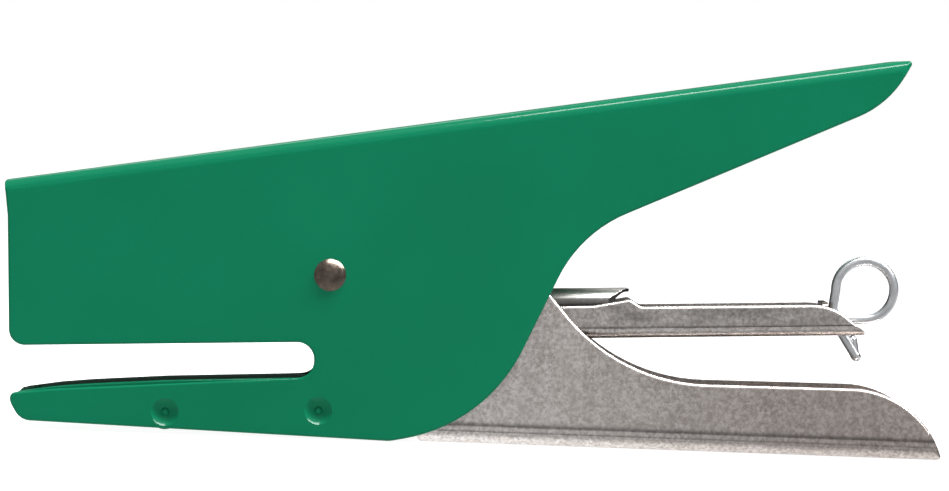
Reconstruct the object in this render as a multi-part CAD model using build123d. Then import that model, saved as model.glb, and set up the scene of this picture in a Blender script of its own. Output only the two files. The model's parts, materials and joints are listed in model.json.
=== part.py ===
from build123d import *
import math
import os

# A plier stapler: a folded sheet-steel body with two jaws and an upper handle, a lever that is
# the lower handle, and between them a magazine with a pull-out loader. Lever and magazine both
# turn on one rivet. Lengths are in millimetres and angles in degrees.
#
# Every piece is drawn in the magazine's own frame: the rivet's axis is the origin, +X runs along
# the magazine to the rear, +Y is the width and +Z is up. At the end the whole stapler is turned
# and moved so that it stands on z = 0 with its middle at the origin.

# ---- driving dimensions --------------------------------------------------------------------
BODY_WIDTH = 19.0
BODY_SHEET = 0.8
BODY_FOLD = 2.2
LEVER_WIDTH = 17.0
LEVER_SHEET = 0.8
LEVER_FOLD = 2.8
TROUGH_WIDTH = 15.0
TROUGH_SHEET = 0.6
TROUGH_FOLD = 2.1
COVER_SHEET = 0.5
COVER_FOLD = 2.6
ANVIL_SHEET = 1.2
ANVIL_REAR = 2.4
PAD_REAR = -6.4

FRONT_BLANK = -54.0
SPINE_FRONT = (-53.7, 16.36)
SPINE_REAR = (96.8, 34.76)
HANDLE_BEND = 93.0
THROAT_TOP = -11.05
THROAT_END = -2.83
THROAT_CORNER = 2.8
PAD_KINK = -46.0
LEVER_HEEL = (9.5, -27.6)
BASE_SLOPE = 2.7
LEVER_FLOOR_FRONT = 14.5
LEVER_ARM_TOP = 14.2
LEVER_TIP = 101.2

RIVET_RADIUS = 1.5
RIVET_HEAD_RADIUS = 2.65
RIVET_HEAD_HEIGHT = 1.1
PIVOT_HOLE_RADIUS = 1.55
BUSH_RADIUS = 2.2
EAR_RADIUS = 4.1
RETURN_WIRE_RADIUS = 0.5
RETURN_COIL_RADIUS = 3.1
RETURN_TURNS = 4
RETURN_PITCH = 1.3

TROUGH_BOTTOM = -11.05
TROUGH_TOP = -5.6
TROUGH_REAR_TOP = -5.85
TROUGH_REAR = 89.0
CHEEK_TOP = -2.0
CHEEK_REAR = -43.0
COVER_TOP = -2.95
COVER_REAR = 49.6
COVER_SKIRT = -6.75
COVER_CORNER = 5.0
WINDOW_HALF = 5.2
WINDOW_HALF_WIDTH = 4.1
LIFT_SPRING_X = 24.0
LIFT_WIRE_RADIUS = 0.5
LIFT_COIL_RADIUS = 3.4
LIFT_TURNS = 7.0

BLADE_INNER = 51.2
BLADE_OUTER = 51.8
BLADE_HALF_WIDTH = 6.2
BLADE_TIP = -4.2
FLOOR_END_RADIUS = 51.0
GATE_INNER = 52.0
GATE_OUTER = 52.8
GATE_TOP = 2.0
ARM_END_RADIUS = 51.0

BLOCK_REAR = -42.5
BLOCK_BOTTOM = 5.2
BLOCK_TOP = 12.2
DRIVER_PIN_RADIUS = 1.2
PIN_FIT = 0.03
DRIVER_PINS = ((-46.6, 7.0), (-46.6, 10.4))

ROD_RADIUS = 0.8
ROD_HEIGHT = -8.6
ROD_FRONT = -47.2
ROD_HEAD_RADIUS = 1.2
ROD_HEAD_LENGTH = 0.8
RING_CENTRE_X = 89.0
RING_RADIUS = 4.9
LEG_SHIFT = 1.75
LEG_KNEES = ((83.6, -6.5), (83.7, -8.6), (85.1, -10.95))
HAIRPIN_BOTTOM = (87.3, -14.6)
HAIRPIN_END = (86.95, -12.05)
PUSHER_FRONT = -49.6
PUSHER_REAR = -41.0
PUSHER_TOP = -4.3
STOP_PLATE_FRONT = 81.6
STOP_PLATE_THICKNESS = 0.9
STOP_PLATE_TOP = -5.5
PUSHER_WIRE_RADIUS = 0.25
PUSHER_COIL_RADIUS = 1.35
PUSHER_PITCH = 3.4
RUNNING_GAP = 0.2

DIMPLES = ((-27.6, -22.35), (-2.2, -22.45))
DIMPLE_RADIUS = 2.3
DIMPLE_DEPTH = 1.0
DIMPLE_WALL = 0.7
STUD_RADIUS = 0.8
STUD_HEIGHT = 0.45

FAR = 200.0


# ---- helpers -------------------------------------------------------------------------------
def outline(*corners):
    """A flat face in the XZ plane; each corner is (x, z, rounding radius)."""
    points = [Vector(x, 0, z) for x, z, _ in corners]
    edges = []
    ends = []
    for index, (_, _, radius) in enumerate(corners):
        here = points[index]
        if radius == 0:
            ends.append((here, here, None))
            continue
        back = (points[index - 1] - here).normalized()
        ahead = (points[(index + 1) % len(points)] - here).normalized()
        half = math.radians(back.get_angle(ahead)) / 2
        reach = radius / math.tan(half)
        middle = here + (back + ahead).normalized() * (radius / math.sin(half) - radius)
        ends.append((here + back * reach, here + ahead * reach, middle))
    for index, (arrive, leave, middle) in enumerate(ends):
        if middle is not None:
            edges.append(ThreePointArc(arrive, middle, leave))
        edges.append(Line(leave, ends[(index + 1) % len(ends)][0]))
    return Face(Wire(edges))


def slab(face, width):
    """An outline made solid, width wide and centred on y = 0."""
    return extrude(face, amount=width / 2, dir=(0, 1, 0), both=True)


def block(low, high):
    """A plain box between two corners."""
    size = [b - a for a, b in zip(low, high)]
    middle = [(a + b) / 2 for a, b in zip(low, high)]
    return Pos(*middle) * Box(*size)


def bar(x, z, radius, y_low, y_high):
    """A round bar along Y."""
    return Pos(x, (y_low + y_high) / 2, z) * Rot(90, 0, 0) * Cylinder(radius, y_high - y_low)


def rod(start, end, radius):
    """A round bar between two points."""
    path = Line(start, end)
    return extrude(Plane(path @ 0, z_dir=path % 0) * Circle(radius), amount=path.length)


def fold_prism(x, z, slope, width, radius, side):
    """A long bar with two rounded edges, for one face of a folded sheet.

    The fold passes through (x, z) at slope degrees; side is 1 for a fold on top and -1 for one
    below, and the bar reaches from the fold to well past the open edges."""
    turn = math.radians(slope)
    along = Vector(math.cos(turn), 0, math.sin(turn))
    section = Pos(0, -side * FAR / 2) * Rectangle(width, FAR)
    corners = section.vertices().sort_by(Axis.Y)
    section = fillet(corners[2:] if side > 0 else corners[:2], radius)
    return extrude(Plane((x, 0, z), x_dir=(0, 1, 0), z_dir=along) * section, amount=FAR, both=True)


def folded(face, x, z, slope, width, sheet, radius, side):
    """A U-shaped piece of sheet metal: an outline folded along the line through (x, z)."""
    shift = side * sheet / math.cos(math.radians(slope))
    outside = slab(face, width) & fold_prism(x, z, slope, width, radius, side)
    inside = fold_prism(x, z - shift, slope, width - 2 * sheet, radius - sheet, side)
    return outside - inside


def ahead_of(radius, low=-40.0, high=40.0):
    """All that lies in front of a cylinder about the pivot, for trimming the front ends."""
    front = block((-70.0, -FAR, low), (-30.0, FAR, high))
    return front - bar(0, 0, radius, -FAR - 1, FAR + 1)


def coil_path(centre, direction, start, radius, turns, length):
    """A helix from centre along direction, whose first point lies towards start."""
    axis = Axis(centre, direction)
    path = Helix(length / turns, length, radius, center=centre, direction=direction)
    first = (path @ 0) - Vector(*centre)
    angle = first.get_signed_angle(Vector(*start), axis.direction)
    return path.rotate(axis, angle)


def along_path(path, radius):
    """Round wire that follows a path."""
    section = Plane(path @ 0, z_dir=path % 0) * Circle(radius)
    return sweep(section, path=path, is_frenet=True)


def bent_wire(path, lead_in, lead_out, radius):
    """A coiled path with straight runs before and after it, as one round wire.

    A ball a hair larger than the wire joins each run to the next."""
    before = [Vector(*point) for point in lead_in] + [path @ 0]
    after = [path @ 1] + [Vector(*point) for point in lead_out]
    wire = along_path(path, radius)
    for run in (before, after):
        for here, there in zip(run, run[1:]):
            wire = wire + rod(here, there, radius)
    for point in before[1:] + after[:-1]:
        wire = wire + Pos(*point) * Sphere(radius + 0.01)
    return wire + Pos(*after[-1]) * Sphere(radius)


def spine_height(x):
    """Top of the body's fold."""
    slope = (SPINE_REAR[1] - SPINE_FRONT[1]) / (SPINE_REAR[0] - SPINE_FRONT[0])
    return SPINE_FRONT[1] + slope * (x - SPINE_FRONT[0])


SPINE_SLOPE = math.degrees(math.atan(spine_height(1) - spine_height(0)))


def base_height(x):
    """The line that the stapler stands on, which is the bottom of the lever's fold."""
    return LEVER_HEEL[1] - math.tan(math.radians(BASE_SLOPE)) * (x - LEVER_HEEL[0])


def jaw_height(x):
    """Top of the lower jaw behind the clinching pad."""
    return -16.85 - 0.0336 * (THROAT_END - x)


def round_ends(x_end, half_width, corner):
    """A plan shape, square at the front and with rounded corners at x_end."""
    plan = Pos(x_end - FAR, 0, 0) * Rectangle(2 * FAR, 2 * half_width)
    rear = plan.vertices().group_by(Axis.X)[-1]
    return extrude(fillet(rear, corner), amount=FAR, both=True)


# ---- frame: body shell, anvil, rivet -------------------------------------------------------
def cap_ball(radius, height):
    """Radius of the ball whose cap has this base radius and height."""
    return (radius ** 2 + height ** 2) / (2 * height)


def dimple_ball(x, z, side, growth=0.0):
    """The ball that presses a dimple into a wall from outside, with any growth in radius."""
    ball = cap_ball(DIMPLE_RADIUS, DIMPLE_DEPTH)
    return Pos(x, side * (BODY_WIDTH / 2 + ball - DIMPLE_DEPTH), z) * Sphere(ball + growth)


def dimple_bump(x, z, side):
    """The bump that a dimple raises on the wall's inner face."""
    reach = 2 * DIMPLE_RADIUS
    inside = side * (BODY_WIDTH / 2 - BODY_SHEET / 2)
    keep = block((x - reach, min(0, inside), z - reach), (x + reach, max(0, inside), z + reach))
    return dimple_ball(x, z, side, DIMPLE_WALL) & keep


def dimple_stud(x, z, side):
    """The small round boss in the middle of a dimple."""
    floor = BODY_WIDTH / 2 - DIMPLE_DEPTH
    y_low, y_high = sorted((side * (floor - 0.3), side * (floor + 1)))
    keep = block((x - 2, y_low, z - 2), (x + 2, y_high, z + 2))
    return (Pos(x, side * (floor + STUD_HEIGHT - STUD_RADIUS), z) * Sphere(STUD_RADIUS)) & keep


def body_shell():
    walls = outline(
        (SPINE_FRONT[0], SPINE_FRONT[1], 0.6),
        (HANDLE_BEND, spine_height(HANDLE_BEND), 8.0),
        (97.0, 34.4, 0.5),
        (92.5, 27.2, 16.0),
        (41.5, 6.5, 22.0),
        (25.4, -25.1, 27.0),
        (LEVER_HEEL[0], LEVER_HEEL[1], 5.0),
        (-51.6, -23.45, 3.0),
        (-53.2, -20.5, 2.2),
        (-53.3, -18.9, 1.0),
        (PAD_KINK, jaw_height(PAD_KINK), 6.0),
        (THROAT_END, jaw_height(THROAT_END), THROAT_CORNER),
        (THROAT_END, THROAT_TOP, THROAT_CORNER),
        (-53.25, THROAT_TOP, 2.6),
        (-53.2, 10.4, 3.0),
    )
    shell = folded(walls, 0, spine_height(0), SPINE_SLOPE, BODY_WIDTH, BODY_SHEET, BODY_FOLD, 1)
    shell = shell & round_ends(SPINE_REAR[0], BODY_WIDTH / 2, 2.2)
    for x, z in DIMPLES:
        for side in (-1, 1):
            shell = shell + dimple_bump(x, z, side) - dimple_ball(x, z, side)
            shell = shell + dimple_stud(x, z, side)
    return shell - bar(0, 0, PIVOT_HOLE_RADIUS, -BODY_WIDTH, BODY_WIDTH)


def anvil_plate():
    half_width = BODY_WIDTH / 2 - BODY_SHEET
    sides = outline(
        (-52.6, -18.75, 1.0),
        (PAD_KINK, -17.95, 4.0),
        (-40.5, -17.6, 12.0),
        (-28.0, -17.15, 40.0),
        (PAD_REAR, jaw_height(PAD_REAR), 1.0),
        (ANVIL_REAR, -18.6, 0),
        (ANVIL_REAR, -25.2, 0),
        (-47.6, -22.3, 2.0),
        (-52.4, -20.3, 0.6),
    )
    plate = slab(sides, 2 * half_width)
    hollow = outline(
        (PAD_KINK, jaw_height(PAD_KINK) - ANVIL_SHEET, 0),
        (PAD_REAR, jaw_height(PAD_REAR) - ANVIL_SHEET, 1.0),
        (ANVIL_REAR + 5, -20.2, 0),
        (ANVIL_REAR + 5, -40.0, 0),
        (PAD_KINK, -40.0, 0),
    )
    plate = plate - slab(hollow, 2 * (half_width - ANVIL_SHEET))
    for x, z in DIMPLES:
        for side in (-1, 1):
            plate = plate - dimple_ball(x, z, side, DIMPLE_WALL + 0.08)
    for side in (-1, 1):
        y_low, y_high = sorted((side * 1.2, side * 6.4))
        plate = plate - bar(-49.3, -18.0, 0.85, y_low, y_high)
    return plate


def pivot_rivet():
    ball = cap_ball(RIVET_HEAD_RADIUS, RIVET_HEAD_HEIGHT)
    face = BODY_WIDTH / 2
    rivet = bar(0, 0, RIVET_RADIUS, -face, face)
    for side in (-1, 1):
        dome = Pos(0, side * (face + RIVET_HEAD_HEIGHT - ball), 0) * Sphere(ball)
        y_low, y_high = sorted((side * face, side * (face + 2)))
        rivet = rivet + (dome & block((-5, y_low, -5), (5, y_high, 5)))
    return rivet


def tangent_point(far, radius):
    """Where a straight leg from far meets a coil about the pivot, over the coil's left side."""
    angle = math.atan2(far[1], far[0]) + math.acos(radius / math.hypot(*far))
    if far[0] < 0:
        angle -= 2 * math.acos(radius / math.hypot(*far))
    return angle, Vector(radius * math.cos(angle), 0, radius * math.sin(angle))


def return_spring():
    """Torsion spring round the pivot bush: one leg under the body's fold, one under the block."""
    wire = RETURN_WIRE_RADIUS
    radius = RETURN_COIL_RADIUS
    fold_end = (15.0, spine_height(15.0) - BODY_SHEET - wire - 0.15)
    block_end = (-44.0, BLOCK_BOTTOM - wire - 0.05)
    first_angle, first = tangent_point(fold_end, radius)
    last_angle, _ = tangent_point(block_end, radius)
    turns = RETURN_TURNS + ((last_angle - first_angle) / (2 * math.pi)) % 1
    length = turns * RETURN_PITCH
    path = coil_path((0, length / 2, 0), (0, -1, 0), first, radius, turns, length)
    reaches = [math.sqrt(end[0] ** 2 + end[1] ** 2 - radius ** 2) for end in (fold_end, block_end)]
    legs = [Line((path @ 0) - (path % 0) * reaches[0], path @ 0),
            Line(path @ 1, (path @ 1) + (path % 1) * reaches[1])]
    wire_path = Wire([legs[0], path, legs[1]])
    section = Plane(wire_path @ 0, z_dir=wire_path % 0) * Circle(wire)
    return sweep(section, path=wire_path)


# ---- lever and driver ----------------------------------------------------------------------
def lever():
    walls = outline(
        (LEVER_FLOOR_FRONT, base_height(LEVER_FLOOR_FRONT), 0.6),
        (2.0, -8.0, 6.0),
        (-6.0, -4.4, 4.0),
        (FRONT_BLANK, -3.4, 0),
        (FRONT_BLANK, LEVER_ARM_TOP, 0),
        (-38.0, LEVER_ARM_TOP, 8.0),
        (8.0, 11.5, 12.0),
        (29.14, 5.66, 8.0),
        (47.83, -18.2, 31.0),
        (96.5, -20.09, 16.0),
        (LEVER_TIP, base_height(LEVER_TIP), 0.6),
    )
    shell = folded(walls, LEVER_HEEL[0], LEVER_HEEL[1], -BASE_SLOPE,
                   LEVER_WIDTH, LEVER_SHEET, LEVER_FOLD, -1)
    shell = shell & round_ends(LEVER_TIP, LEVER_WIDTH / 2, 3.0)
    shell = shell - ahead_of(ARM_END_RADIUS)
    for x, z in DRIVER_PINS:
        shell = shell - bar(x, z, DRIVER_PIN_RADIUS + PIN_FIT, -LEVER_WIDTH, LEVER_WIDTH)
    return shell - bar(0, 0, PIVOT_HOLE_RADIUS, -LEVER_WIDTH, LEVER_WIDTH)


def driver_block():
    half_width = LEVER_WIDTH / 2 - LEVER_SHEET
    solid = block((FRONT_BLANK, -half_width, BLOCK_BOTTOM), (BLOCK_REAR, half_width, BLOCK_TOP))
    solid = solid - ahead_of(BLADE_INNER)
    solid = fillet(solid.edges().filter_by(Axis.Y).group_by(Axis.X)[-1], 0.8)
    for x, z in DRIVER_PINS:
        solid = solid - bar(x, z, DRIVER_PIN_RADIUS + PIN_FIT, -LEVER_WIDTH, LEVER_WIDTH)
    return solid


def driver_blade():
    strip = block((FRONT_BLANK, -BLADE_HALF_WIDTH, BLADE_TIP), (-45.0, BLADE_HALF_WIDTH, BLOCK_TOP))
    return strip - ahead_of(BLADE_OUTER) - bar(0, 0, BLADE_INNER, -FAR, FAR)


def driver_rivets():
    half_width = LEVER_WIDTH / 2
    return [bar(x, z, DRIVER_PIN_RADIUS, -half_width, half_width) for x, z in DRIVER_PINS]


def magazine_spring():
    """Compression spring between the lever's floor and the magazine's underside."""
    low = base_height(LIFT_SPRING_X) + LEVER_SHEET + LIFT_WIRE_RADIUS + 0.3
    high = TROUGH_BOTTOM - LIFT_WIRE_RADIUS - 0.1
    centre = (LIFT_SPRING_X, 0, low)
    path = coil_path(centre, (0, 0, 1), (1, 0, 0), LIFT_COIL_RADIUS, LIFT_TURNS, high - low)
    return along_path(path, LIFT_WIRE_RADIUS)


# ---- magazine ------------------------------------------------------------------------------
def magazine_channel():
    walls = outline(
        (TROUGH_REAR, TROUGH_BOTTOM, 0.4),
        (FRONT_BLANK, TROUGH_BOTTOM, 0),
        (FRONT_BLANK, CHEEK_TOP, 0),
        (CHEEK_REAR, CHEEK_TOP, 1.5),
        (CHEEK_REAR + 3.6, TROUGH_TOP, 2.0),
        (-8.0, TROUGH_TOP, 2.0),
        (-EAR_RADIUS, EAR_RADIUS, EAR_RADIUS - 0.1),
        (EAR_RADIUS, EAR_RADIUS, EAR_RADIUS - 0.1),
        (8.0, TROUGH_TOP, 2.0),
        (43.5, TROUGH_TOP, 8.0),
        (49.6, -4.6, 0.8),
        (51.4, TROUGH_REAR_TOP, 1.6),
        (83.0, TROUGH_REAR_TOP, 9.0),
        (88.4, TROUGH_BOTTOM + 0.7, 0),
    )
    shell = folded(walls, 0, TROUGH_BOTTOM, 0, TROUGH_WIDTH, TROUGH_SHEET, TROUGH_FOLD, -1)
    shell = shell & round_ends(TROUGH_REAR, TROUGH_WIDTH / 2, 2.2)
    inner_width = TROUGH_WIDTH - 2 * TROUGH_SHEET
    floor = TROUGH_BOTTOM + TROUGH_SHEET
    mouth = block((FRONT_BLANK, -inner_width / 2, TROUGH_BOTTOM - 1), (-44.0, inner_width / 2, floor + 1))
    mouth = mouth - bar(0, 0, FLOOR_END_RADIUS, -FAR, FAR)
    leg_slot = block((82.9, -LEG_SHIFT - 1.1, TROUGH_BOTTOM - 1), (95.0, -LEG_SHIFT + 1.1, floor + 1))
    shell = shell - ahead_of(GATE_INNER) - mouth - leg_slot
    return shell - bar(0, 0, PIVOT_HOLE_RADIUS, -TROUGH_WIDTH, TROUGH_WIDTH)


def magazine_cover():
    """The channel's lid, with a window under the return spring's coil."""
    sides = outline(
        (FRONT_BLANK, COVER_TOP, 0),
        (COVER_REAR, COVER_TOP, 0),
        (COVER_REAR, COVER_SKIRT, 1.0),
        (FRONT_BLANK, COVER_SKIRT, 0),
    )
    width = TROUGH_WIDTH - 2 * TROUGH_SHEET
    shell = folded(sides, 0, COVER_TOP, 0, width, COVER_SHEET, COVER_FOLD, 1)
    shell = shell & round_ends(COVER_REAR, width / 2, COVER_CORNER)
    window = block((-WINDOW_HALF, -WINDOW_HALF_WIDTH, COVER_TOP - 2 * COVER_SHEET),
                   (WINDOW_HALF, WINDOW_HALF_WIDTH, COVER_TOP + 1))
    return shell - ahead_of(FLOOR_END_RADIUS) - fillet(window.edges().filter_by(Axis.Z), 1.0)


def magazine_gate():
    """Front plate: the staple leaves between it and the end of the floor."""
    half_width = TROUGH_WIDTH / 2
    plate = block((FRONT_BLANK, -half_width, TROUGH_BOTTOM), (-45.0, half_width, GATE_TOP))
    return plate - ahead_of(GATE_OUTER) - bar(0, 0, GATE_INNER, -FAR, FAR)


def pivot_bush():
    half_width = TROUGH_WIDTH / 2 - TROUGH_SHEET
    return (bar(0, 0, BUSH_RADIUS, -half_width, half_width)
            - bar(0, 0, PIVOT_HOLE_RADIUS, -FAR, FAR))


# ---- loader and pusher ---------------------------------------------------------------------
def loader_wire():
    """One wire: a straight rod, a finger ring, a leg through the floor and a hairpin."""
    centre = (RING_CENTRE_X, 0, ROD_HEIGHT + RING_RADIUS)
    ring = coil_path(centre, (0, -1, 0), (0, 0, -1), RING_RADIUS, 0.75, LEG_SHIFT)
    x, z = HAIRPIN_BOTTOM
    down = [(knee_x, -LEG_SHIFT, knee_z) for knee_x, knee_z in LEG_KNEES]
    down += [(x, -LEG_SHIFT, z), (x + 0.2, -LEG_SHIFT / 2, z - 0.2), (x, 0, z)]
    down += [(HAIRPIN_END[0], 0, HAIRPIN_END[1])]
    return bent_wire(ring, [(ROD_FRONT, 0, ROD_HEIGHT)], down, ROD_RADIUS)


def rod_head():
    head = Rot(0, 90, 0) * Cylinder(ROD_HEAD_RADIUS, ROD_HEAD_LENGTH)
    return Pos(ROD_FRONT - ROD_HEAD_LENGTH / 2, 0, ROD_HEIGHT) * fillet(head.edges(), 0.2)


def spring_stop_plate():
    half_width = TROUGH_WIDTH / 2 - TROUGH_SHEET - 0.5
    rear = STOP_PLATE_FRONT + STOP_PLATE_THICKNESS
    plate = block((STOP_PLATE_FRONT, -half_width, TROUGH_BOTTOM + TROUGH_SHEET + RUNNING_GAP),
                  (rear, half_width, STOP_PLATE_TOP))
    plate = fillet(plate.edges().filter_by(Axis.X), 1.3)
    hole = Pos(rear, 0, ROD_HEIGHT) * Rot(0, 90, 0) * Cylinder(ROD_RADIUS + 0.01, 10)
    return plate - hole


def pusher():
    half_width = TROUGH_WIDTH / 2 - TROUGH_SHEET - COVER_SHEET - RUNNING_GAP
    low = TROUGH_BOTTOM + TROUGH_SHEET + RUNNING_GAP
    solid = block((PUSHER_FRONT, -half_width, low), (PUSHER_REAR, half_width, PUSHER_TOP))
    solid = fillet(solid.edges().filter_by(Axis.X), 1.2)
    along = Pos(0, 0, ROD_HEIGHT) * Rot(0, 90, 0)
    hole = along * Cylinder(ROD_RADIUS + 0.05, 2 * FAR)
    pocket = Pos(ROD_FRONT - 5, 0, 0) * along * Cylinder(ROD_HEAD_RADIUS + 0.15, 10)
    return solid - hole - pocket


def pusher_spring():
    """Compression spring on the rod, from the stop plate to the pusher."""
    start = PUSHER_REAR + PUSHER_WIRE_RADIUS
    length = STOP_PLATE_FRONT - PUSHER_WIRE_RADIUS - start
    turns = round(length / PUSHER_PITCH)
    path = coil_path((start, 0, ROD_HEIGHT), (1, 0, 0), (0, 0, 1), PUSHER_COIL_RADIUS, turns, length)
    return along_path(path, PUSHER_WIRE_RADIUS)


# ---- assembly ------------------------------------------------------------------------------
def main():
    pieces = {
        "body_shell": body_shell(),
        "anvil_plate": anvil_plate(),
        "pivot_rivet": pivot_rivet(),
        "return_spring": return_spring(),
        "lever": lever(),
        "driver_block": driver_block(),
        "driver_blade": driver_blade(),
        "driver_rivets": Compound(children=driver_rivets()),
        "magazine_spring": magazine_spring(),
        "magazine_channel": magazine_channel(),
        "magazine_cover": magazine_cover(),
        "magazine_gate": magazine_gate(),
        "pivot_bush": pivot_bush(),
        "loader_wire": loader_wire(),
        "rod_head": rod_head(),
        "spring_stop_plate": spring_stop_plate(),
        "pusher": pusher(),
        "pusher_spring": pusher_spring(),
    }
    upright = Rot(0, -BASE_SLOPE, 0)
    box = Compound(children=[upright * piece for piece in pieces.values()]).bounding_box()
    place = Pos(-(box.min.X + box.max.X) / 2, 0, -box.min.Z) * upright
    os.makedirs("parts", exist_ok=True)
    for name, piece in pieces.items():
        export_step(place * piece, f"parts/{name}.step")
    print("pivot", place.position, "size", box.size)


main()
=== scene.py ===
import json
import math

import bmesh
import bpy
from mathutils import Matrix, Vector


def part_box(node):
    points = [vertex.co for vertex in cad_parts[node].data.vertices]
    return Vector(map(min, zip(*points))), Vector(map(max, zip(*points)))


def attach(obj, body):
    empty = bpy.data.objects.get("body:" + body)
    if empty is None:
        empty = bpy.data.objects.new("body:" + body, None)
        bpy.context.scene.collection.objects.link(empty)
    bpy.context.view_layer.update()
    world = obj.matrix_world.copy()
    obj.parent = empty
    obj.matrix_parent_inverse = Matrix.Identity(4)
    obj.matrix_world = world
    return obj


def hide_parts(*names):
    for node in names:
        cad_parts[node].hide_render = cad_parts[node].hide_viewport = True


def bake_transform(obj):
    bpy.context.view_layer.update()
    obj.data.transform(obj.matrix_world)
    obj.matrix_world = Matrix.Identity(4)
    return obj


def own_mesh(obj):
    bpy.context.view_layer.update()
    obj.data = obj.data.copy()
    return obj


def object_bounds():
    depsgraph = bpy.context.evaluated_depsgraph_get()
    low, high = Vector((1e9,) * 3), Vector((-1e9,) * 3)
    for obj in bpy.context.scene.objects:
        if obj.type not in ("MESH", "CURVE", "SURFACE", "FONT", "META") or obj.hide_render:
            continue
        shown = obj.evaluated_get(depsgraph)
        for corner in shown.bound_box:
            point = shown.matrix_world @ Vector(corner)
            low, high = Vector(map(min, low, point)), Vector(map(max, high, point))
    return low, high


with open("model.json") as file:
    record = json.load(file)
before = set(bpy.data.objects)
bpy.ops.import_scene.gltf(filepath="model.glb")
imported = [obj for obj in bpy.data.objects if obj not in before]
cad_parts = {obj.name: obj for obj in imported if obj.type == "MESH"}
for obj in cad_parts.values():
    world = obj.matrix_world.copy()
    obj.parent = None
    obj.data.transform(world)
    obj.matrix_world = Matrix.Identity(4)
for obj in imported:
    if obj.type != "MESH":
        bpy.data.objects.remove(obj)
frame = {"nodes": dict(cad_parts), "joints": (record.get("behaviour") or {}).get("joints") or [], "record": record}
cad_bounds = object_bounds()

MM = 0.001
nodes = frame["nodes"]
joints = {joint["name"]: joint for joint in frame["joints"]}
bodies = frame["record"]["behaviour"]["bodies"]
body_of_node = {node: body for body, members in bodies.items() for node in members}

# The magazine's own frame: the rivet's axis is its origin, and the loader slides along it.
pivot = Vector(joints["lever_hinge"]["pos_m"])
along = Vector(joints["loader_slide"]["axis"]).normalized()
across = Vector((0, 1, 0))
upward = along.cross(across)


def at(x, y, z):
    """A point of the magazine's frame, given in millimetres, in the row frame."""
    return pivot + (along * x + across * y + upward * z) * MM


# ---- camera, light and floor ---------------------------------------------------------------
# The camera looks at the middle of the object, in metres and degrees: how far off it is, how high
# above level, how far rolled, the width that it sees there, and a small shift sideways and up.
VIEW_DISTANCE = 0.8
VIEW_ELEVATION = 1.2
VIEW_ROLL = 2.1
VIEW_WIDTH = 0.1587
VIEW_SHIFT = (-0.0003, -0.0003)
SENSOR_WIDTH = 36.0
FAR_CLIP = 50.0

# Each light: its name, its place, its size (the first along the object) and its power.
LIGHT_TARGET = (0, 0, 0.03)
STRIP_TARGET = (0.03, 0, 0.03)
LIGHTS = (
    ("overhead_strip", (0.4, -0.22, 0.95), STRIP_TARGET, (1.24, 0.25), 36.0),
    ("front_softbox", (-0.2, -1.5, 0.9), LIGHT_TARGET, (1.2, 0.5), 1.0),
    ("back_softbox", (0.1, 0.9, 0.8), LIGHT_TARGET, (1.2, 0.4), 3.0),
)
FLOOR_SIZE = 12.0
FLOOR_GAP = 0.2 * MM

# The tent's brightness, from straight down (-1) to straight up (1), before and behind the object,
# and how far each side of the object the one passes into the other.
FRONT_LEVELS = (
    (-1.0, 1.0), (-0.8, 0.6), (-0.5, 0.45), (-0.2, 0.42), (0.0, 0.52), (0.2, 0.42),
    (0.4, 0.42), (0.6, 0.5), (0.8, 0.6), (1.0, 0.7),
)
BACK_LEVELS = (
    (-1.0, 1.0), (-0.5, 0.9), (-0.12, 0.9), (-0.04, 0.03), (0.25, 0.02), (0.45, 0.1),
    (0.6, 0.4), (0.8, 0.6), (1.0, 0.7),
)
TENT_BLEND = 0.25


def make_camera():
    """A long lens, side on, a little above the object and slightly rolled."""
    low, high = (Vector(corner) for corner in cad_bounds)
    middle = (low + high) / 2
    data = bpy.data.cameras.new("camera")
    camera = bpy.data.objects.new("camera", data)
    bpy.context.scene.collection.objects.link(camera)
    rise = math.radians(VIEW_ELEVATION)
    back = Vector((0, -math.cos(rise), math.sin(rise)))
    facing = Matrix.Rotation(math.pi / 2 - rise, 4, "X")
    roll = Matrix.Rotation(math.radians(VIEW_ROLL), 4, "Z")
    data.sensor_width = SENSOR_WIDTH
    data.lens = SENSOR_WIDTH * VIEW_DISTANCE / VIEW_WIDTH
    data.clip_end = FAR_CLIP
    camera.matrix_world = (Matrix.Translation(middle + back * VIEW_DISTANCE) @ facing @ roll
                           @ Matrix.Translation((*VIEW_SHIFT, 0)))
    bpy.context.scene.camera = camera


def area_light(name, place, target, size, watts):
    """A rectangular light that faces the target, with its first side along the object."""
    data = bpy.data.lights.new(name, "AREA")
    data.shape = "RECTANGLE"
    data.size, data.size_y = size
    data.energy = watts
    light = bpy.data.objects.new(name, data)
    bpy.context.scene.collection.objects.link(light)
    back = (Vector(place) - Vector(target)).normalized()
    side = (Vector((1, 0, 0)) - back * back.x).normalized()
    turn = Matrix((side, back.cross(side), back)).transposed().to_4x4()
    light.matrix_world = Matrix.Translation(place) @ turn


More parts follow.
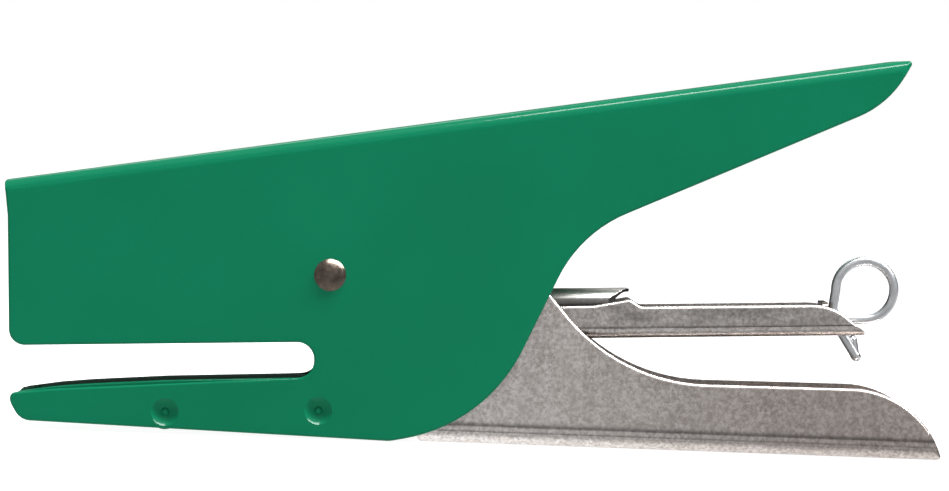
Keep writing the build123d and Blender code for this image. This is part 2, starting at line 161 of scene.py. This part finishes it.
def make_world():
    """Daylight tent: bright overhead, dark behind the object, and plain white to the camera."""
    world = bpy.data.worlds.new("studio")
    world.use_nodes = True
    tree = world.node_tree
    tree.nodes.clear()
    add, link = tree.nodes.new, tree.links.new
    place = add("ShaderNodeTexCoord")
    parts = add("ShaderNodeSeparateXYZ")
    link(place.outputs["Generated"], parts.inputs["Vector"])
    height = add("ShaderNodeMapRange")
    height.inputs["From Min"].default_value = -1.0
    link(parts.outputs["Z"], height.inputs["Value"])
    sides = []
    for levels in (FRONT_LEVELS, BACK_LEVELS):
        ramp = add("ShaderNodeValToRGB")
        elements = ramp.color_ramp.elements
        while len(elements) < len(levels):
            elements.new(0.5)
        for element, (rise, level) in zip(elements, levels):
            element.position = (rise + 1) / 2
            element.color = (level, level, level, 1.0)
        link(height.outputs["Result"], ramp.inputs["Fac"])
        sides.append(ramp.outputs["Color"])
    depth = add("ShaderNodeMapRange")
    depth.inputs["From Min"].default_value = -TENT_BLEND
    depth.inputs["From Max"].default_value = TENT_BLEND
    link(parts.outputs["Y"], depth.inputs["Value"])
    blend = add("ShaderNodeMix")
    blend.data_type = "RGBA"
    link(depth.outputs["Result"], blend.inputs["Factor"])
    link(sides[0], blend.inputs[6])
    link(sides[1], blend.inputs[7])
    tent = add("ShaderNodeBackground")
    link(blend.outputs[2], tent.inputs["Color"])
    paper = add("ShaderNodeBackground")
    paper.inputs["Color"].default_value = (1.0, 1.0, 1.0, 1.0)
    choose = add("ShaderNodeMixShader")
    rays = add("ShaderNodeLightPath")
    link(rays.outputs["Is Camera Ray"], choose.inputs["Fac"])
    link(tent.outputs["Background"], choose.inputs[1])
    link(paper.outputs["Background"], choose.inputs[2])
    link(choose.outputs["Shader"], add("ShaderNodeOutputWorld").inputs["Surface"])
    bpy.context.scene.world = world


def make_floor():
    """Plain white paper. Reflections leave it out and show the tent's own levels from below."""
    bpy.ops.mesh.primitive_plane_add(size=FLOOR_SIZE, location=(0, 0, -FLOOR_GAP))
    floor = bpy.context.object
    floor.name = "floor"
    floor.data.materials.append(paper_floor())
    floor.visible_glossy = False


# ---- materials -----------------------------------------------------------------------------
class Shader:
    """A node material under construction, with short names for the nodes that it uses."""

    def __init__(self, name, **sockets):
        self.material = bpy.data.materials.new(name)
        self.material.use_nodes = True
        self.tree = self.material.node_tree
        self.shader = self.tree.nodes["Principled BSDF"]
        for socket, value in sockets.items():
            self.shader.inputs[socket.replace("_", " ")].default_value = value
        self.place = self.add("ShaderNodeTexCoord").outputs["Object"]

    def add(self, kind, **settings):
        node = self.tree.nodes.new(kind)
        for key, value in settings.items():
            setattr(node, key, value)
        return node

    def link(self, source, target):
        self.tree.links.new(source, target)

    def noise(self, scale, detail=2.0, roughness=0.5, stretch=(1, 1, 1)):
        """Noise in the object's own space; scale is in cycles per metre."""
        mapping = self.add("ShaderNodeMapping")
        mapping.inputs["Scale"].default_value = stretch
        self.link(self.place, mapping.inputs["Vector"])
        node = self.add("ShaderNodeTexNoise")
        node.inputs["Scale"].default_value = scale
        node.inputs["Detail"].default_value = detail
        node.inputs["Roughness"].default_value = roughness
        self.link(mapping.outputs["Vector"], node.inputs["Vector"])
        return node.outputs["Fac"]

    def ramp(self, source, *stops):
        """A colour ramp; each stop is (position, colour)."""
        node = self.add("ShaderNodeValToRGB")
        elements = node.color_ramp.elements
        while len(elements) < len(stops):
            elements.new(0.5)
        for element, (position, colour) in zip(elements, stops):
            element.position = position
            element.color = (*colour, 1.0)
        self.link(source, node.inputs["Fac"])
        return node.outputs["Color"]

    def spread(self, source, low, high, start=0.3, end=0.7):
        """Map a noise value to a range."""
        node = self.add("ShaderNodeMapRange")
        sockets = {"From Min": start, "From Max": end, "To Min": low, "To Max": high}
        for socket, value in sockets.items():
            node.inputs[socket].default_value = value
        self.link(source, node.inputs["Value"])
        return node.outputs["Result"]

    def mix(self, fac, first, second, mode="MIX"):
        """Mix two colours; each value is a socket or a constant."""
        node = self.add("ShaderNodeMix", data_type="RGBA", blend_type=mode)
        factor, colours = node.inputs["Factor"], node.inputs[6:8]
        for socket, value in ((factor, fac), (colours[0], first), (colours[1], second)):
            if isinstance(value, bpy.types.NodeSocket):
                self.link(value, socket)
            else:
                socket.default_value = value
        return node.outputs[2]

    def component(self, vector, axis):
        """The X, Y or Z part of a vector."""
        node = self.add("ShaderNodeSeparateXYZ")
        self.link(vector, node.inputs["Vector"])
        return node.outputs[axis]

    def painted_bands(self, level, waver, stops):
        """Painted light and shade bands across a level from 0 to 1, made to wander; stops are (level, brightness).
        """
        node = self.add("ShaderNodeMath", operation="MULTIPLY_ADD")
        self.link(waver, node.inputs[0])
        node.inputs[1].default_value = BAND_WAVER
        self.link(level, node.inputs[2])
        return self.ramp(node.outputs["Value"], *((place, (grey,) * 3) for place, grey in stops))

    def bump(self, source, distance, under=None):
        """Small relief whose full height is distance, in metres."""
        node = self.add("ShaderNodeBump")
        node.inputs["Distance"].default_value = distance
        node.inputs["Strength"].default_value = 1.0
        self.link(source, node.inputs["Height"])
        if under is not None:
            self.link(under, node.inputs["Normal"])
        return node.outputs["Normal"]

    def set(self, **sockets):
        """Link sockets of the surface shader and hand back the finished material."""
        for socket, source in sockets.items():
            self.link(source, self.shader.inputs[socket.replace("_", " ")])
        return self.material


# Dark and light tones of the plating's speckle, and painted bands of reflection and shade along each fold.
# A band on the lever is placed by its height over ROW_REACH. A band on the other pieces is placed
# by how far the face leans down: 0 faces up, 0.5 is upright, 1 faces down. The brightness follows.
SATIN_TONES = ((0.5, 0.455, 0.43), (1.0, 0.945, 0.91))
POLISHED_TONES = ((0.80, 0.76, 0.72), (0.98, 0.95, 0.92))
SATIN_ROUGHNESS = 0.28
CHANNEL_ROUGHNESS = 0.26
COVER_ROUGHNESS = 0.36
BAND_WAVER = 0.035
ROW_REACH = 5.0 * MM
# The lever's plating is darker towards its rear: the tone, where it starts and where it is full.
LEVER_REAR_TONE = ((0.68, 0.645, 0.63), 0.0, 0.06)
# Painted reflections and shade on the lever's lower fold, by height: dark and light bands, brightest at the
# bottom.
LEVER_SHADE_BANDS = (
    (0.0, 1.25), (0.22, 1.15), (0.3, 0.85), (0.34, 0.82), (0.37, 1.0), (0.425, 0.72), (0.49, 1.1),
    (0.56, 1.0), (0.615, 0.36), (0.67, 0.5), (0.73, 0.85), (0.8, 1.0),
)
# Painted reflections and shade on the channel's folds, placed by how far the face leans.
CHANNEL_SHADE_BANDS = (
    (0.49, 1.0), (0.505, 0.55), (0.55, 0.35), (0.62, 0.6), (0.7, 1.15), (0.76, 0.45), (0.8, 0.45),
    (0.87, 1.1), (0.94, 0.55), (1.0, 0.45),
)
# Painted shade on the cover's upright sides; its top stays at full tone.
COVER_SIDE_SHADE = ((0.0, 1.0), (0.24, 1.0), (0.3, 0.2), (0.5, 0.06), (1.0, 0.06))


def paper_floor():
    """White paper, bright enough to print as plain white."""
    s = Shader("paper_floor", Roughness=1.0, Emission_Strength=0.95)
    s.shader.inputs["Specular IOR Level"].default_value = 0.0
    s.shader.inputs["Emission Color"].default_value = (1.0, 1.0, 1.0, 1.0)
    tone = s.ramp(s.noise(3.0), (0.0, (0.28, 0.28, 0.28)), (1.0, (0.32, 0.32, 0.32)))
    return s.set(Base_Color=tone)


def green_enamel():
    """Stoved enamel: an even green under a clear coat with faint orange peel."""
    s = Shader("green_enamel", Roughness=0.4, Coat_Weight=0.4, Coat_Roughness=0.06, Coat_IOR=1.35)
    s.shader.inputs["Specular IOR Level"].default_value = 0.03
    tone = s.ramp(s.noise(35.0, 3.0), (0.3, (0.0, 0.102, 0.047)), (0.7, (0.0, 0.113, 0.053)))
    sheet = s.bump(s.noise(38.0, 1.0), 0.00012)
    peel = s.bump(s.noise(900.0, 2.0), 0.000006, under=sheet)
    s.link(peel, s.shader.inputs["Coat Normal"])
    return s.set(Base_Color=tone, Normal=peel)


def nickel(name, tones, rough, lean_bands=(), height_bands=(), rear_tone=None):
    """Barrel-plated sheet: fine speckle over faint clouds, with painted bands of reflection and shade.

    The lean bands are painted reflections and shade placed by how far the face leans, and the height
    bands painted reflections and shade placed by height. A sheet given a rear tone turns darker from one
    place along the object to another.
    """
    s = Shader(name, Metallic=1.0)
    low, high = tones
    speckle = s.noise(1700.0, 3.0, 0.7)
    cloud = s.noise(110.0, 3.0, 0.6)
    drag = s.noise(520.0, 4.0, 0.7, stretch=(1.0, 1.0, 0.3))
    tone = s.ramp(speckle, (0.37, low), (0.63, high))
    tone = s.mix(s.spread(drag, 0.0, 0.45, 0.45, 0.7), tone, (*low, 1.0))
    tone = s.mix(s.spread(cloud, 0.0, 0.3), tone, (*high, 1.0))
    waver = s.spread(s.noise(600.0, 4.0, 0.6, stretch=(0.25, 1.0, 1.0)), -0.5, 0.5, 0.0, 1.0)
    # The tone darkens the sheet towards the rear, along X.
    if rear_tone:
        colour, start, end = rear_tone
        rear_ramp = s.spread(s.component(s.place, "X"), 0.0, 1.0, start, end)
        shade = s.ramp(rear_ramp, (0.0, (1, 1, 1)), (1.0, colour))
        tone = s.mix(1.0, tone, shade, "MULTIPLY")
    # Painted reflection and shade bands, placed by how far the face leans.
    if lean_bands:
        facing = s.add("ShaderNodeNewGeometry").outputs["Normal"]
        lean = s.spread(s.component(facing, "Z"), 0.0, 1.0, 1.0, -1.0)
        tone = s.mix(1.0, tone, s.painted_bands(lean, waver, lean_bands), "MULTIPLY")
    # Painted reflection and shade bands, placed by height from 0 to ROW_REACH.
    if height_bands:
        height = s.spread(s.component(s.place, "Z"), 0.0, 1.0, 0.0, ROW_REACH)
        tone = s.mix(1.0, tone, s.painted_bands(height, waver, height_bands), "MULTIPLY")
    shine = s.spread(speckle, rough + 0.08, rough)
    return s.set(Base_Color=tone, Roughness=shine, Normal=s.bump(speckle, 0.000012))


def bright_wire():
    """Drawn and plated wire."""
    s = Shader("bright_wire", Metallic=1.0)
    tone = s.ramp(s.noise(500.0, 3.0), (0.3, (0.62, 0.64, 0.66)), (0.7, (0.78, 0.80, 0.82)))
    rough = s.spread(s.noise(900.0), 0.3, 0.42)
    return s.set(Base_Color=tone, Roughness=rough, Normal=s.bump(s.noise(1200.0), 0.00001))


def dark_steel():
    """Oiled brown-black steel, as on the rivet and the hidden plates."""
    s = Shader("dark_steel", Metallic=1.0)
    grain = s.noise(700.0, 4.0, 0.65)
    tone = s.ramp(grain, (0.3, (0.09, 0.068, 0.055)), (0.7, (0.22, 0.18, 0.15)))
    rough = s.spread(s.noise(1300.0, 3.0), 0.2, 0.36)
    return s.set(Base_Color=tone, Roughness=rough, Normal=s.bump(s.noise(1100.0, 3.0), 0.00003))


def plain_steel():
    """Bare steel with a rolled grain."""
    s = Shader("plain_steel", Metallic=1.0)
    tone = s.ramp(s.noise(400.0, 3.0), (0.3, (0.40, 0.40, 0.40)), (0.7, (0.52, 0.52, 0.51)))
    grain = s.noise(300.0, 3.0, 0.6, stretch=(1.0, 8.0, 1.0))
    rough = s.spread(grain, 0.28, 0.42)
    return s.set(Base_Color=tone, Roughness=rough, Normal=s.bump(grain, 0.00001))


def spring_steel():
    """Grey spring wire."""
    s = Shader("spring_steel", Metallic=1.0)
    tone = s.ramp(s.noise(600.0, 3.0), (0.3, (0.24, 0.24, 0.25)), (0.7, (0.36, 0.36, 0.37)))
    return s.set(Base_Color=tone, Roughness=s.spread(s.noise(900.0), 0.22, 0.36),
                 Normal=s.bump(s.noise(1200.0), 0.00001))


# ---- pieces --------------------------------------------------------------------------------
# Edges sharper than SHARP_ANGLE are rounded; faces that meet below SMOOTH_ANGLE shade as one.
SHARP_ANGLE = 35.0
SMOOTH_ANGLE = 38.0
WELD = 0.001 * MM
FLAT_ANGLE = 0.4
SIDE_SLACK = 0.1 * MM
OUTER_SEGMENTS = 4
INNER_SEGMENTS = 2

# Middles of the stamped dimples in the magazine's frame, and how far round them is left alone.
DIMPLES = ((-27.6, -22.35), (-2.2, -22.45))
DIMPLE_REACH = 2.9 * MM

# Outer and inner edge rounding of each sheet piece.
EDGE_ROUNDS = {
    "body_shell": (0.42 * MM, 0.15 * MM),
    "lever": (0.65 * MM, 0.08 * MM),
    "magazine_channel": (0.48 * MM, 0.06 * MM),
    "magazine_cover": (0.2 * MM, 0.1 * MM),
    "magazine_gate": (0.3 * MM, 0.1 * MM),
    "anvil_plate": (0.25 * MM, 0.15 * MM),
}


def link_mesh(name, mesh):
    piece = bpy.data.objects.new(name, mesh)
    bpy.context.scene.collection.objects.link(piece)
    return piece


def round_over(bm, width, segments, chosen):
    """Round the sharp edges that a test picks."""
    sharp = [
        edge for edge in bm.edges
        if edge.is_manifold and edge.calc_face_angle(0) > math.radians(SHARP_ANGLE) and chosen(edge)
    ]
    bmesh.ops.bevel(bm, geom=sharp, offset=width, segments=segments, profile=0.5,
                    affect="EDGES", clamp_overlap=False, loop_slide=False)


def crisp_normals(mesh):
    """Shade flat faces flat right up to their rounded edges: corners follow the larger faces."""
    limit = math.cos(math.radians(SMOOTH_ANGLE))
    around = [[] for vertex in mesh.vertices]
    for face in mesh.polygons:
        sheet = (face.normal.copy(), (face.area / MM ** 2) ** 2)
        for vertex in face.vertices:
            around[vertex].append(sheet)
    corners = []
    for face in mesh.polygons:
        facing = face.normal.copy()
        for vertex in face.vertices:
            total = Vector((0, 0, 0))
            for normal, weight in around[vertex]:
                if facing.dot(normal) > limit:
                    total += normal * weight
            corners.append(total.normalized())
    mesh.normals_split_custom_set(corners)


def softened(node, outer, inner):
    """A copy of a CAD node of sheet metal with rolled outer and broken inner punched edges."""
    bm = bmesh.new()
    bm.from_mesh(nodes[node].data)
    bmesh.ops.remove_doubles(bm, verts=bm.verts, dist=WELD)
    bmesh.ops.dissolve_limit(
        bm, angle_limit=math.radians(FLAT_ANGLE), verts=bm.verts, edges=bm.edges)
    half_width = max(abs(corner.y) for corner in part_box(node))
    stamped = [at(x, 0, z) for x, z in DIMPLES]

    def plain(edge):
        """Whether an edge is clear of the stamped dimples, whose rims are soft already."""
        return all(math.hypot(v.co.x - place.x, v.co.z - place.z) > DIMPLE_REACH
                   for place in stamped for v in edge.verts)

    def outer_rim(edge):
        """Whether an edge lies on one of the piece's outer side faces."""
        return plain(edge) and all(abs(v.co.y) > half_width - SIDE_SLACK for v in edge.verts)

    round_over(bm, outer, OUTER_SEGMENTS, outer_rim)
    round_over(bm, inner, INNER_SEGMENTS, plain)
    for face in bm.faces:
        face.smooth = True
    mesh = bpy.data.meshes.new(node + "_finish")
    bm.to_mesh(mesh)
    bm.free()
    crisp_normals(mesh)
    piece = link_mesh(node + "_finish", mesh)
    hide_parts(node)
    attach(piece, body_of_node[node])
    return piece


def make_springs(material):
    """The three springs copied with the spring finish; the magazine spring rides with the lever and the pusher
    spring with the loader.
    """
    for name in ("return_spring", "magazine_spring", "pusher_spring"):
        copy = nodes[name].data.copy()
        copy.materials.clear()
        piece = link_mesh(name + "_wire", copy)
        piece.data.materials.append(material)
        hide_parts(name)
        if name == "return_spring":
            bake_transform(piece)
        elif name == "magazine_spring":
            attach(piece, "lever")
            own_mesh(piece)
        else:
            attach(piece, "loader")
            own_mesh(piece)


def main():
    bpy.context.scene.view_settings.view_transform = "Standard"
    make_camera()
    make_world()
    for light in LIGHTS:
        area_light(*light)
    make_floor()
    finishes = {
        "enamel": green_enamel(),
        "nickel": nickel("satin_nickel", SATIN_TONES, SATIN_ROUGHNESS),
        "plain_steel": plain_steel(),
        "spring_steel": spring_steel(),
        "bright_wire": bright_wire(),
        "dark_steel": dark_steel(),
    }
    slots = {part["node"]: part["material_slot"] for part in frame["record"]["subparts"]}
    for name, node in nodes.items():
        node.data.materials.clear()
        node.data.materials.append(finishes[slots[name]])
    make_springs(finishes["spring_steel"])
    # The lever, channel and cover get painted bands of reflection and shade along their folds.
    banded_finishes = {
        "lever": nickel(
            "lever_nickel", SATIN_TONES, SATIN_ROUGHNESS, height_bands=LEVER_SHADE_BANDS, rear_tone=LEVER_REAR_TONE),
        "magazine_channel": nickel(
            "channel_nickel", SATIN_TONES, CHANNEL_ROUGHNESS, lean_bands=CHANNEL_SHADE_BANDS),
        "magazine_cover": nickel(
            "cover_nickel", POLISHED_TONES, COVER_ROUGHNESS, lean_bands=COVER_SIDE_SHADE),
    }
    for name, (outer, inner) in EDGE_ROUNDS.items():
        piece = softened(name, outer, inner)
        piece.data.materials.append(banded_finishes.get(name, finishes[slots[name]]))


main()
